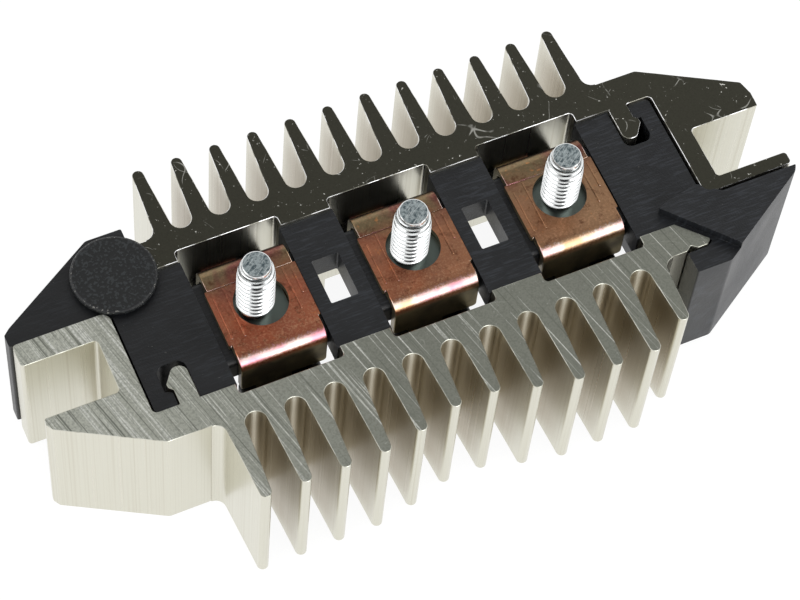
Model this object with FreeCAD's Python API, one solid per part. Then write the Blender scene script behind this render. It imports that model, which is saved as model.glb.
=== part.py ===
"""Three-phase bridge rectifier with two finned heat sinks.

Two extruded aluminium sinks of one family face each other, the rear one turned half a
turn about Z, and a moulded carrier hooks into both and keeps them apart.  Three copper
clips straddle the carrier's bar.  The head of a threaded stud is trapped under each
clip, and a diode cell is soldered between each clip leg and the sink beside it.

Frame: +X along the rectifier, +Y to the rear sink's fins, +Z up along the extrusion.
The origin is the bottom centre of the whole part.  All sizes are in millimetres.
"""
import FreeCAD, Part
import math
import os

# Heat sinks, sized in their own frame with the fins towards -Y
SINK_HEIGHT = 19.5
FIN_PITCH = 4.8
FIN_COUNT = 12
FIN_ROW_X = -1.0            # middle of the row of fins
FIN_ROOT_HALF = 1.1
FIN_TIP_RADIUS = 0.68
FRONT_FIN_REACH = 22.8      # fin tip to the part's turning axis
REAR_FIN_REACH = 21.6
LAST_FIN_REACH = 20.4       # the front row's last fin is shorter
SCALLOP_RADIUS = 18.5       # clearance sweep cut out of the front row
SCALLOP_REACH = 20.45       # reach left at the middle of the sweep
WEB_OUTER = 12.5            # web's outer face, at the roots of the gaps
WEB_STEP = 0.1              # the web stands back this far beyond the fins
LAND_FACE = 8.55            # web's inner face
RECESS_FACE = 9.9           # floor of the recess behind each diode
RECESS_HALF = 6.4
FINE_ROUND = 0.2            # small corners of the extrusion and the moulding
SOFT_ROUND = 0.5

# End bracket with its open mounting slot
WEB_END_IN = 35.2           # bracket web, side of the carrier
WEB_END_OUT = 37.6          # bracket web, side of the slot
BRACKET_END = 46.7
SLOT_WIDTH = 7.05
SLOT_CENTRE_Y = -1.05       # both slots lie on this line of the assembled part
FRONT_ARM_TOP = 5.4
REAR_ARM_TOP = 6.2
ARM_CORNER = 1.1            # radius where the inner arm leaves the web
OUTER_ARM_LOW = 6.2
SHOULDER_X = 35.0           # where the sloping outer arm leaves the web

# Hook that locks the carrier
HOOK_SIDE = 29.65
HOOK_NECK = 32.0
HOOK_BARB = 32.5
HOOK_TOP = 3.95
HOOK_FLAT = 1.6             # width of the hook's rounded end
BARB_Y = 6.15
BARB_DEPTH = 0.5
HOOK_ROUND = 1.0
POCKET_ROUND = 0.6

# Nose at the other end of the web
NOSE_START = 29.85
NOSE_TIP_X = 33.0
NOSE_TIP_Y = 11.85
NOSE_NOTCH_X = 30.4

# Insulating carrier
CLEARANCE = 0.15
CARRIER_SINK = 0.4          # plate's top below the sinks' top face
PLATE_THICKNESS = 3.7
BAR_SINK = 0.5              # bar's top below the plate's top
BAR_ROUND = 0.8             # keeps clear of the bend inside each clip
CARRIER_FOOT = 1.0          # end blocks stop this far above the sinks' bottom face
CARRIER_END = 47.0
RIGHT_END_BACK = 0.4        # the right tip is this much shorter
TIP_LOW = 7.1
TIP_CORNER = (46.2, 7.8)
BACK_CORNER_X = 34.2
BACK_EDGE = 15.2            # carrier's edge beyond the nose
END_BLOCK_X = 29.8          # the ends are full height beyond this
END_ROUND = 1.0
HOOK_PLAY = 0.5             # moulded slot beside the hook
HOOK_HEADROOM = 0.8         # and past its end
WINDOW_X = 3.4
WINDOW_Y = 5.9
STEP_HEIGHT = 1.2           # raised land at the right end
STEP_START = (28.8, -6.2)   # its edge runs beside the nose, from here
STEP_END = (37.2, -15.6)    # to past the carrier's edge here
LAND_MARGIN = 0.75          # between the land and the rear sink

# Phases
PHASE_PITCH = 19.0
CLIP_POCKET_HALF = 6.15

# Copper clip, an inverted U
CLIP_WIDTH = 10.6
CLIP_SPAN = 13.7            # over the two legs
CLIP_SHEET = 1.0
CLIP_BEND = 1.6             # outer bend radius
CLIP_LEG = 5.8              # clip's top to the legs' ends, above the narrow tongues
CLIP_CORNER = 1.5
CLIP_HOLE = 6.4
HOLE_BACK = 0.2             # hole centre from the clip's middle, to the rear
CLIP_ASIDE = {"left": 0.4, "middle": 0.4, "right": 0.2}     # clip's middle from its phase
COIN_DEPTH = 0.12
COIN_FRONT = 3.9
COIN_REAR = 3.55
COIN_BULGE = 0.3            # metal squeezed out at each side of the coined seat

# Threaded stud
STUD_DIAMETER = 4.6
STUD_HEIGHT = 8.8           # tip above the clip
STUD_ASIDE = {"left": -0.4, "middle": -0.2, "right": 0.0}   # stud's axis from its phase
STUD_RISE = {"left": 0.3, "middle": -0.4, "right": 0.0}     # tip above the usual height
DOG_DIAMETER = 3.5
DOG_LENGTH = 1.0
STUD_CHAMFER = 0.65
NECK_DIAMETER = 4.2
HEAD_ACROSS_FLATS = 7.9
HEAD_HEIGHT = 1.6
HEAD_PLAY = 0.1

# Diode cell
CASE_X = 7.4
CASE_ASIDE = -0.8           # case's middle from its phase, to the left
CASE_Z = 5.4
CASE_DROP = 0.6             # case's top below the leg's end
CASE_ROUND = 1.8
CASE_INSET = 0.3            # case stands back from the sink
CASE_WRAP = 0.8             # and reaches this far behind the tongue
CELL_X = 4.4                # also the width of the tongue that runs down to the cell
CELL_Z = 3.8
CELL_DROP = 0.5             # cell's top below the case's top
DIE_THICKNESS = 0.35
BASE_THICKNESS = 1.2

# Round plug lapped over the rear sink's nose
PLUG_X = -32.9
PLUG_Y = 9.4
PLUG_DIAMETER = 10.1
PLUG_THICKNESS = 0.7
PLUG_CHAMFER = 0.2
STEM_DIAMETER = 2.4
STEM_LENGTH = 8.0

PHASES = {"left": -PHASE_PITCH, "middle": 0.0, "right": PHASE_PITCH}
AXIS_X = (CARRIER_END - BRACKET_END) / 2                # middle phase from the
AXIS_Y = (FRONT_FIN_REACH - REAR_FIN_REACH) / 2         # centre of the whole part
CARRIER_TOP = SINK_HEIGHT - CARRIER_SINK
CARRIER_BOTTOM = CARRIER_TOP - PLATE_THICKNESS
BAR_TOP = CARRIER_TOP - BAR_SINK
BAR_HALF = CLIP_SPAN / 2 - CLIP_SHEET - CLEARANCE
CLIP_TOP = BAR_TOP + CLIP_SHEET
CLIP_LEG_END = CLIP_TOP - CLIP_LEG
CASE_TOP = CLIP_LEG_END - CASE_DROP
CELL_TOP = CASE_TOP - CELL_DROP
CELL_BOTTOM = CELL_TOP - CELL_Z
STUD_TOP = CLIP_TOP + STUD_HEIGHT
OVERLAP = FINE_ROUND        # how far joined shapes run into each other before they fuse


def vec(x, y, z=0.0):
    """Return a point."""
    return FreeCAD.Vector(x, y, z)


def outline(corners):
    """Return a flat face from (x, y) or (x, y, radius) corners, with rounded corners."""
    count = len(corners)
    edges = []
    ends = []
    for i, corner in enumerate(corners):
        here = vec(corner[0], corner[1])
        radius = corner[2] if len(corner) > 2 else 0.0
        before = vec(*corners[i - 1][:2]) - here
        after = vec(*corners[(i + 1) % count][:2]) - here
        if radius <= 0:
            ends.append((here, here, None))
            continue
        half = before.getAngle(after) / 2
        before.normalize()
        after.normalize()
        reach = radius / math.tan(half)
        middle = before + after
        middle.normalize()
        centre = here + middle * (radius / math.sin(half))
        ends.append((here + before * reach, here + after * reach, centre - middle * radius))
    for i, (start, stop, crown) in enumerate(ends):
        if crown is not None:
            edges.append(Part.Arc(start, crown, stop).toShape())
        following = ends[(i + 1) % count][0]
        if (following - stop).Length > 1e-6:
            edges.append(Part.LineSegment(stop, following).toShape())
    return Part.Face(Part.Wire(edges))


def rectangle(x_low, x_high, y_low, y_high, radius=0.0):
    """Return a flat rectangle with one radius at its corners."""
    return outline([(x_low, y_low, radius), (x_high, y_low, radius),
                    (x_high, y_high, radius), (x_low, y_high, radius)])


def disc(x, y, radius):
    """Return a flat disc."""
    return Part.Face(Part.Wire(Part.makeCircle(radius, vec(x, y))))


def join(shapes):
    """Return shapes fused into one, with the seams between them removed."""
    return shapes[0].multiFuse(shapes[1:]).removeSplitter()


def prism(face, z_low, z_high):
    """Return a flat face pulled up from z_low to z_high."""
    solid = face.extrude(vec(0, 0, z_high - z_low))
    solid.translate(vec(0, 0, z_low))
    return solid


def along_x(face, x_low, x_high):
    """Return a (y, z) section pulled along X."""
    section = face.copy()
    section.rotate(vec(0, 0), vec(1, 0, 0), 90)
    section.rotate(vec(0, 0), vec(0, 0, 1), 90)
    solid = section.extrude(vec(x_high - x_low, 0, 0))
    solid.translate(vec(x_low, 0, 0))
    return solid


def turned(shape):
    """Return a copy turned by half a turn about Z."""
    copy = shape.copy()
    copy.rotate(vec(0, 0), vec(0, 0, 1), 180)
    return copy


def fin_places():
    """Return the X of each fin, in the sink's own frame."""
    first = FIN_ROW_X - FIN_PITCH * (FIN_COUNT - 1) / 2
    return [first + FIN_PITCH * i for i in range(FIN_COUNT)]


def front_reaches():
    """Return the reach of each front fin: a round sweep shortens the middle ones."""
    reaches = []
    for x in fin_places():
        aside = abs(x - FIN_ROW_X)
        sweep = math.inf
        if aside < SCALLOP_RADIUS:
            sweep = SCALLOP_REACH + SCALLOP_RADIUS - math.sqrt(SCALLOP_RADIUS ** 2 - aside ** 2)
        reaches.append(min(FRONT_FIN_REACH, sweep))
    reaches[-1] = LAST_FIN_REACH
    return reaches


def sink_prism(face):
    """Return a flat face pulled up over the sinks' height."""
    return prism(face, 0, SINK_HEIGHT)


def fin_comb(reaches):
    """Return the pieces of the fins and of the rounded roots between them."""
    gap_radius = FIN_PITCH / 2 - FIN_ROOT_HALF
    root_y = -(WEB_OUTER + gap_radius)
    places = fin_places()
    band = sink_prism(rectangle(places[0] - FIN_PITCH / 2, places[-1] + FIN_PITCH / 2,
                                root_y, OVERLAP - WEB_OUTER))
    gaps = [sink_prism(disc(places[0] + FIN_PITCH * (i - 0.5), root_y, gap_radius))
            for i in range(FIN_COUNT + 1)]
    parts = [band.cut(gaps)]
    for x, reach in zip(places, reaches):
        tip_y = FIN_TIP_RADIUS - reach
        blade = outline([(x - FIN_ROOT_HALF, root_y + OVERLAP), (x - FIN_ROOT_HALF, root_y),
                         (x - FIN_TIP_RADIUS, tip_y), (x + FIN_TIP_RADIUS, tip_y),
                         (x + FIN_ROOT_HALF, root_y), (x + FIN_ROOT_HALF, root_y + OVERLAP)])
        parts.append(sink_prism(blade))
        parts.append(sink_prism(disc(x, tip_y, FIN_TIP_RADIUS)))
    return parts


def sink_web(slot_y, arm_top):
    """Return the plan of the web with its hook, nose and open end bracket."""
    slot_low = slot_y - SLOT_WIDTH / 2
    slot_high = slot_y + SLOT_WIDTH / 2
    arm_round = 0.45 * min(arm_top - slot_high, 2 * SOFT_ROUND)
    outer = WEB_OUTER - WEB_STEP
    return outline([
        (-BRACKET_END + FINE_ROUND / 2, slot_low, FINE_ROUND),
        (-BRACKET_END, (slot_low - OUTER_ARM_LOW) / 2, FINE_ROUND),
        (-BRACKET_END + SOFT_ROUND, -OUTER_ARM_LOW, SOFT_ROUND),
        (-SHOULDER_X, -outer, END_ROUND),
        (NOSE_START - FINE_ROUND, -outer, FINE_ROUND),
        (NOSE_NOTCH_X, -NOSE_TIP_Y, FINE_ROUND),
        (NOSE_NOTCH_X + FIN_TIP_RADIUS, -outer, FINE_ROUND),
        (NOSE_TIP_X - FIN_TIP_RADIUS, -outer, FINE_ROUND),
        (NOSE_TIP_X, -NOSE_TIP_Y, FINE_ROUND),
        (NOSE_START, -LAND_FACE, FINE_ROUND),
        (-HOOK_SIDE, -LAND_FACE),
        (-HOOK_SIDE, -HOOK_TOP, HOOK_ROUND),
        (-HOOK_SIDE - HOOK_FLAT, -HOOK_TOP, HOOK_ROUND * 0.8),
        (-HOOK_BARB, -BARB_Y + BARB_DEPTH, FINE_ROUND),
        (-HOOK_BARB, -BARB_Y, FINE_ROUND / 2),
        (-HOOK_NECK, -BARB_Y - BARB_DEPTH, FINE_ROUND / 2),
        (-HOOK_NECK, -LAND_FACE, FINE_ROUND),
        (-WEB_END_IN, -LAND_FACE, POCKET_ROUND),
        (-WEB_END_IN, arm_top, ARM_CORNER),
        (-BRACKET_END, arm_top, arm_round),
        (-BRACKET_END, slot_high, arm_round),
        (-WEB_END_OUT, slot_high, SOFT_ROUND),
        (-WEB_END_OUT, slot_low, SOFT_ROUND),
    ])


def heat_sink(reaches, slot_y, arm_top):
    """Return one sink in its own frame, with its fins towards -Y."""
    web = sink_prism(sink_web(slot_y, arm_top))
    for x in PHASES.values():
        recess = rectangle(x - RECESS_HALF, x + RECESS_HALF, -RECESS_FACE,
                           END_ROUND - LAND_FACE, SOFT_ROUND)
        web = web.cut(sink_prism(recess))
    return join([web] + fin_comb(reaches))


def carrier_end_plan(arm_top, end_x):
    """Return the plan of the carrier's left end, which holds both sinks there."""
    edge = WEB_END_IN - 2 * CLEARANCE
    slot_side = HOOK_SIDE - CLEARANCE
    slot_out = HOOK_BARB + HOOK_PLAY
    slot_top = HOOK_TOP - HOOK_HEADROOM
    arm_edge = HOOK_NECK + CLEARANCE
    step = BARB_Y + 2 * CLEARANCE
    inner = PHASE_PITCH + CLIP_POCKET_HALF
    return outline([
        (-inner, -LAND_FACE),
        (-inner, LAND_FACE),
        (-NOSE_START, LAND_FACE, FINE_ROUND),
        (-NOSE_TIP_X - 2 * CLEARANCE, NOSE_TIP_Y + CLEARANCE, FINE_ROUND),
        (-NOSE_TIP_X + FIN_TIP_RADIUS, WEB_OUTER, FINE_ROUND),
        (-END_BLOCK_X, WEB_OUTER),
        (-END_BLOCK_X, BACK_EDGE, FINE_ROUND),
        (-BACK_CORNER_X, BACK_EDGE, END_ROUND),
        (-TIP_CORNER[0], TIP_CORNER[1], END_ROUND),
        (-end_x, TIP_LOW, FINE_ROUND),
        (-end_x, arm_top + CLEARANCE, FINE_ROUND),
        (-edge, arm_top + CLEARANCE, ARM_CORNER),
        (-edge, -LAND_FACE, POCKET_ROUND),
        (-arm_edge, -LAND_FACE, SOFT_ROUND),
        (-arm_edge, -step - 2 * CLEARANCE, FINE_ROUND / 2),
        (-arm_edge - BARB_DEPTH, -step, FINE_ROUND / 2),
        (-slot_out, -step, FINE_ROUND / 2),
        (-slot_out, -slot_top, HOOK_ROUND),
        (-slot_side, -slot_top, HOOK_ROUND),
        (-slot_side, -LAND_FACE),
    ])


def carrier_end(plan):
    """Return one end of the carrier from its plan: a plate, full height beyond the bar."""
    reach = CARRIER_END + END_ROUND
    beyond = rectangle(-reach, -END_BLOCK_X, -reach, reach)
    block = prism(plan, CARRIER_FOOT, CARRIER_TOP).common(prism(beyond, 0, CARRIER_TOP))
    return join([prism(plan, CARRIER_BOTTOM, CARRIER_TOP), block])


def raised_land(plan):
    """Return the raised land that stands inside the edge of the right end's plan."""
    rear = -REAR_ARM_TOP - LAND_MARGIN
    reach = CARRIER_END + END_ROUND
    area = outline([
        (*STEP_START, FINE_ROUND),
        STEP_END,
        (reach, STEP_END[1]),
        (reach, rear),
        (WEB_END_OUT - LAND_MARGIN, rear, HOOK_ROUND),
        (WEB_END_IN - LAND_MARGIN, rear + 2 * HOOK_ROUND, HOOK_ROUND),
    ])
    low = CARRIER_TOP - OVERLAP
    high = CARRIER_TOP + STEP_HEIGHT
    return turned(prism(plan, low, high)).common(prism(area, low, high))


def hexagon(x, y, across_flats):
    """Return a flat hexagon with two sides along X."""
    radius = across_flats / math.sqrt(3)
    return outline([(x + radius * math.cos(math.radians(60 * i)),
                     y + radius * math.sin(math.radians(60 * i))) for i in range(6)])


def insulating_carrier():
    """Return the moulded carrier."""
    half_gap = PHASE_PITCH / 2 - CLIP_POCKET_HALF
    bar_end = PHASE_PITCH + CLIP_POCKET_HALF + OVERLAP
    bar = along_x(outline([(-BAR_HALF, CARRIER_BOTTOM), (BAR_HALF, CARRIER_BOTTOM),
                           (BAR_HALF, BAR_TOP, BAR_ROUND), (-BAR_HALF, BAR_TOP, BAR_ROUND)]),
                  -bar_end, bar_end)
    left = carrier_end_plan(FRONT_ARM_TOP, CARRIER_END)
    right = carrier_end_plan(REAR_ARM_TOP, CARRIER_END - RIGHT_END_BACK)
    parts = [bar, carrier_end(left), turned(carrier_end(right)), raised_land(right)]
    windows = []
    for x in (-PHASE_PITCH / 2, PHASE_PITCH / 2):
        block = rectangle(x - half_gap, x + half_gap, -LAND_FACE, LAND_FACE)
        window = rectangle(x - WINDOW_X / 2, x + WINDOW_X / 2,
                           -WINDOW_Y / 2, WINDOW_Y / 2, FINE_ROUND)
        parts.append(prism(block, CARRIER_BOTTOM, CARRIER_TOP))
        windows.append(prism(window, 0, SINK_HEIGHT))
    pockets = [prism(hexagon(x + STUD_ASIDE[name], 0, HEAD_ACROSS_FLATS + 2 * HEAD_PLAY),
                     BAR_TOP - HEAD_HEIGHT, SINK_HEIGHT) for name, x in PHASES.items()]
    socket = prism(disc(PLUG_X, PLUG_Y, STEM_DIAMETER / 2),
                   SINK_HEIGHT - STEM_LENGTH, SINK_HEIGHT)
    return join(parts).cut(windows + pockets + [socket])


def lathe(x, y, half_section):
    """Return a solid turned about a vertical axis at (x, y) from (radius, z) corners."""
    face = outline(half_section)
    face.rotate(vec(0, 0), vec(1, 0, 0), 90)
    solid = face.revolve(vec(0, 0), vec(0, 0, 1), 360)
    solid.translate(vec(x, y, 0))
    return solid


def end_plug():
    """Return the round plug: a thin disc with a chamfered rim, on a stem."""
    radius = PLUG_DIAMETER / 2
    top = SINK_HEIGHT + PLUG_THICKNESS
    return lathe(PLUG_X, PLUG_Y, [
        (0, SINK_HEIGHT - STEM_LENGTH), (STEM_DIAMETER / 2, SINK_HEIGHT - STEM_LENGTH),
        (STEM_DIAMETER / 2, SINK_HEIGHT), (radius, SINK_HEIGHT),
        (radius, top - PLUG_CHAMFER), (radius - PLUG_CHAMFER, top), (0, top)])


def terminal_clip(x, cell_x):
    """Return one copper clip: a bent strip with a round hole and a coined seat.

    A narrow tongue runs down from each leg to the diode cell at cell_x.
    """
    half = CLIP_SPAN / 2
    inner = half - CLIP_SHEET
    section = outline([
        (-half, CLIP_LEG_END), (-half, CLIP_TOP, CLIP_BEND), (half, CLIP_TOP, CLIP_BEND),
        (half, CLIP_LEG_END), (inner, CLIP_LEG_END),
        (inner, BAR_TOP, CLIP_BEND - CLIP_SHEET), (-inner, BAR_TOP, CLIP_BEND - CLIP_SHEET),
        (-inner, CLIP_LEG_END)])
    strip = along_x(section, -CLIP_WIDTH / 2, CLIP_WIDTH / 2)
    feet = [e for e in strip.Edges if len(e.Vertexes) == 2 and e.BoundBox.YLength > 0.5
            and e.BoundBox.XLength < 1e-6 and e.BoundBox.ZMax < CLIP_LEG_END + 1e-6]
    strip = strip.makeFillet(CLIP_CORNER, feet)
    coin_half = CLIP_WIDTH / 2 + COIN_BULGE
    coin = rectangle(-coin_half, coin_half, -COIN_FRONT, COIN_REAR)
    above = CLIP_TOP - COIN_DEPTH
    strip = strip.cut(prism(coin, above, CLIP_TOP + CLIP_SHEET))
    strip = join([strip, prism(coin, BAR_TOP, above)])
    hole = disc(0, HOLE_BACK, CLIP_HOLE / 2)
    strip = strip.cut(prism(hole, BAR_TOP - CLIP_SHEET, CLIP_TOP + CLIP_SHEET))
    strip.translate(vec(x, 0, 0))
    for side in (-half, inner):
        strip = strip.fuse(cell_slab(cell_x, side, side + CLIP_SHEET, CELL_X,
                                     CELL_BOTTOM, CLIP_LEG_END + OVERLAP))
    return strip.removeSplitter()


def terminal_stud(x, rise):
    """Return one stud: a hexagon head under the clip, a neck, a shank and a dog point."""
    tip = STUD_TOP + rise
    dog_start = tip - DOG_LENGTH
    radius = STUD_DIAMETER / 2
    neck_end = CLIP_TOP + CLEARANCE
    shank = lathe(x, 0, [
        (0, BAR_TOP - OVERLAP), (NECK_DIAMETER / 2, BAR_TOP - OVERLAP),
        (NECK_DIAMETER / 2, neck_end), (radius, neck_end),
        (radius, dog_start - STUD_CHAMFER), (DOG_DIAMETER / 2, dog_start),
        (DOG_DIAMETER / 2, tip), (0, tip)])
    return join([prism(hexagon(x, 0, HEAD_ACROSS_FLATS), BAR_TOP - HEAD_HEIGHT, BAR_TOP), shank])


def cell_slab(x, y_low, y_high, width, z_low, z_high, corner=0.0):
    """Return a slab of the diode cell: a rectangle in XZ, pulled along Y."""
    face = rectangle(-width / 2, width / 2, z_low, z_high, corner)
    face.rotate(vec(0, 0), vec(1, 0, 0), 90)
    slab = face.extrude(vec(0, y_high - y_low, 0))
    slab.translate(vec(x, y_low, 0))
    return slab


def diode_cell(x):
    """Return the four pieces of a front diode cell centred on x, keyed by name."""
    sink_face = -RECESS_FACE
    clip_face = -CLIP_SPAN / 2
    clip_back = clip_face + CLIP_SHEET
    base_top = sink_face + BASE_THICKNESS
    die_top = base_top + DIE_THICKNESS

    def slab(y_low, y_high, z_high=CELL_TOP):
        return cell_slab(x, y_low, y_high, CELL_X, CELL_BOTTOM, z_high)

    case = cell_slab(x, sink_face + CASE_INSET, clip_back + CASE_WRAP, CASE_X,
                     CASE_TOP - CASE_Z, CASE_TOP, CASE_ROUND)
    case = case.cut(slab(sink_face, clip_face))
    return {"case": case.cut(slab(clip_face, clip_back, CASE_TOP + OVERLAP)),
            "base": slab(sink_face, base_top),
            "die": slab(base_top, die_top),
            "contact": slab(die_top, clip_face)}


def all_parts():
    """Return every solid of the rectifier, keyed by its name."""
    rear_reaches = [REAR_FIN_REACH] * FIN_COUNT
    parts = {
        "front_heat_sink": heat_sink(front_reaches(), SLOT_CENTRE_Y, FRONT_ARM_TOP),
        "rear_heat_sink": turned(heat_sink(rear_reaches, -SLOT_CENTRE_Y, REAR_ARM_TOP)),
        "insulating_carrier": insulating_carrier(),
        "round_end_plug": end_plug(),
    }
    for name, x in PHASES.items():
        parts[f"terminal_clip_{name}"] = terminal_clip(x + CLIP_ASIDE[name], x + CASE_ASIDE)
        parts[f"terminal_stud_{name}"] = terminal_stud(x + STUD_ASIDE[name], STUD_RISE[name])
        for piece, solid in diode_cell(x + CASE_ASIDE).items():
            parts[f"front_diode_{piece}_{name}"] = solid
        for piece, solid in diode_cell(-x - CASE_ASIDE).items():
            parts[f"rear_diode_{piece}_{name}"] = turned(solid)
    return parts


os.makedirs("parts", exist_ok=True)
for part_name, part_shape in all_parts().items():
    part_shape.translate(vec(AXIS_X, AXIS_Y, 0))
    solids = part_shape.Solids
    assert part_shape.isValid() and len(solids) == 1, part_name
    solids[0].exportStep(f"parts/{part_name}.step")
    box = solids[0].BoundBox
    print(f"{part_name}: {solids[0].Volume:.1f} mm3, "
          f"{box.XLength:.2f} x {box.YLength:.2f} x {box.ZLength:.2f}")
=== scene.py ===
"""Three-phase bridge rectifier: finishes, threaded studs, softened edges, studio and camera."""

import logging
import math
from contextlib import contextmanager
from dataclasses import dataclass
from dataclasses import field
from enum import Enum
from typing import Any
from typing import Callable
from typing import Iterator

import bmesh
import bpy
from mathutils import Matrix
from mathutils import Vector

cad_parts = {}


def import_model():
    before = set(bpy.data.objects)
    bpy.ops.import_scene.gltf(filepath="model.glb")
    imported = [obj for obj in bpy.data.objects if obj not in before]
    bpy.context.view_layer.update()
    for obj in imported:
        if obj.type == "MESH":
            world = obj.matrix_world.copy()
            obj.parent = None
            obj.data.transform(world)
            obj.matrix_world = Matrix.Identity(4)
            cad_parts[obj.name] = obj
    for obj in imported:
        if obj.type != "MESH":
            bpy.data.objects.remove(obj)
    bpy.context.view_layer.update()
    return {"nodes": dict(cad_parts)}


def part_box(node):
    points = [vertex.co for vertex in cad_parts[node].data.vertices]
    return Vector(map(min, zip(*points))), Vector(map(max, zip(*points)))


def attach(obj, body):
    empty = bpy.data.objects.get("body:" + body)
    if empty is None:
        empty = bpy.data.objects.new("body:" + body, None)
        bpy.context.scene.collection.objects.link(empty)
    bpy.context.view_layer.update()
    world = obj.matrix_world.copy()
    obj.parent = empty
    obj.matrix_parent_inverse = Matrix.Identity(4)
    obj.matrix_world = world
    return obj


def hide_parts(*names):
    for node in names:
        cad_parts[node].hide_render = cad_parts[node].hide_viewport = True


LOG = logging.getLogger("rectifier")
MM = 0.001
ROOT = "root"
# Points closer than this are one point.
MERGE_REACH = 0.002 * MM
# How far a point may be from the place it is picked by.
SLACK = 0.01 * MM
# An edge between faces that turn more than this is rounded, if it is wanted.
SHARP_TURN = math.radians(40.0)
# Faces that turn less than this are one flat face.
FLAT_TURN = math.radians(0.5)
# Faces that turn less than this shade as one, as round a curved wall.
SMOOTH_TURN = math.radians(30.0)

Socket = bpy.types.NodeSocket
Node = bpy.types.Node
Tree = bpy.types.NodeTree
Piece = bpy.types.Object
Span = tuple[float, float]
Place = tuple[float, float, float]


class Side(Enum):
    """The two heat sinks, and the diodes that stand on them."""

    FRONT = "front"
    REAR = "rear"


class Phase(Enum):
    """The three phases, with the place of each along the row in millimetres."""

    LEFT = -18.85
    MIDDLE = 0.15
    RIGHT = 19.15

    @property
    def label(self) -> str:
        """The word that ends the phase's node names."""
        return self.name.lower()


def linear_colour(code: str) -> tuple[float, float, float, float]:
    """Turns an sRGB hex colour to the linear values that the shaders take.

    Args:
        code: Six hex digits after a hash sign.

    Returns:
        Red, green, blue and alpha, linear.
    """
    values = []
    for start in (1, 3, 5):
        share = int(code[start:start + 2], 16) / 255
        values.append(share / 12.92 if share <= 0.04045 else ((share + 0.055) / 1.055) ** 2.4)
    return (values[0], values[1], values[2], 1.0)


def per_mm(size: float) -> float:
    """Gives the texture scale at which one cell measures a length.

    Args:
        size: Length of a cell in millimetres.

    Returns:
        The scale for a texture on Object coordinates, which are in metres.
    """
    return 1.0 / (size * MM)


def add_node(tree: Tree, kind: str, inputs: dict[Any, Any] | None = None, **settings: Any) -> Node:
    """Adds one node with its settings, values and links.

    Args:
        tree: Node tree that takes the node.
        kind: Blender's identifier of the node, without the word ShaderNode.
        inputs: Value, hex colour, socket or node for each input, by name or place. A node gives
            its first output.
        settings: Properties of the node itself.

    Returns:
        The new node.
    """
    node = tree.nodes.new("ShaderNode" + kind)
    for name, value in settings.items():
        setattr(node, name, value)
    for name, value in (inputs or {}).items():
        if isinstance(value, Node):
            tree.links.new(value.outputs[0], node.inputs[name])
        elif isinstance(value, Socket):
            tree.links.new(value, node.inputs[name])
        elif isinstance(value, str):
            node.inputs[name].default_value = linear_colour(value)
        else:
            node.inputs[name].default_value = value
    return node


@dataclass(frozen=True)
class Finish:
    """What a surface is made of and how it was finished, as one node material."""

    name: str

    def material(self) -> bpy.types.Material:
        """Builds the node material on Object coordinates.

        Returns:
            The finished material.
        """
        material = bpy.data.materials.new(self.name)
        material.use_nodes = True
        tree = material.node_tree
        tree.nodes.clear()
        place = add_node(tree, "TexCoord").outputs["Object"]
        add_node(tree, "OutputMaterial", {"Surface": self.shader(tree, place)})
        return material

    def shader(self, tree: Tree, place: Socket) -> Node:
        """Builds the surface, which each kind of finish does in its own way.

        Args:
            tree: Node tree of the material.
            place: Object coordinates.

        Returns:
            The last shader node.
        """
        raise NotImplementedError


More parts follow.
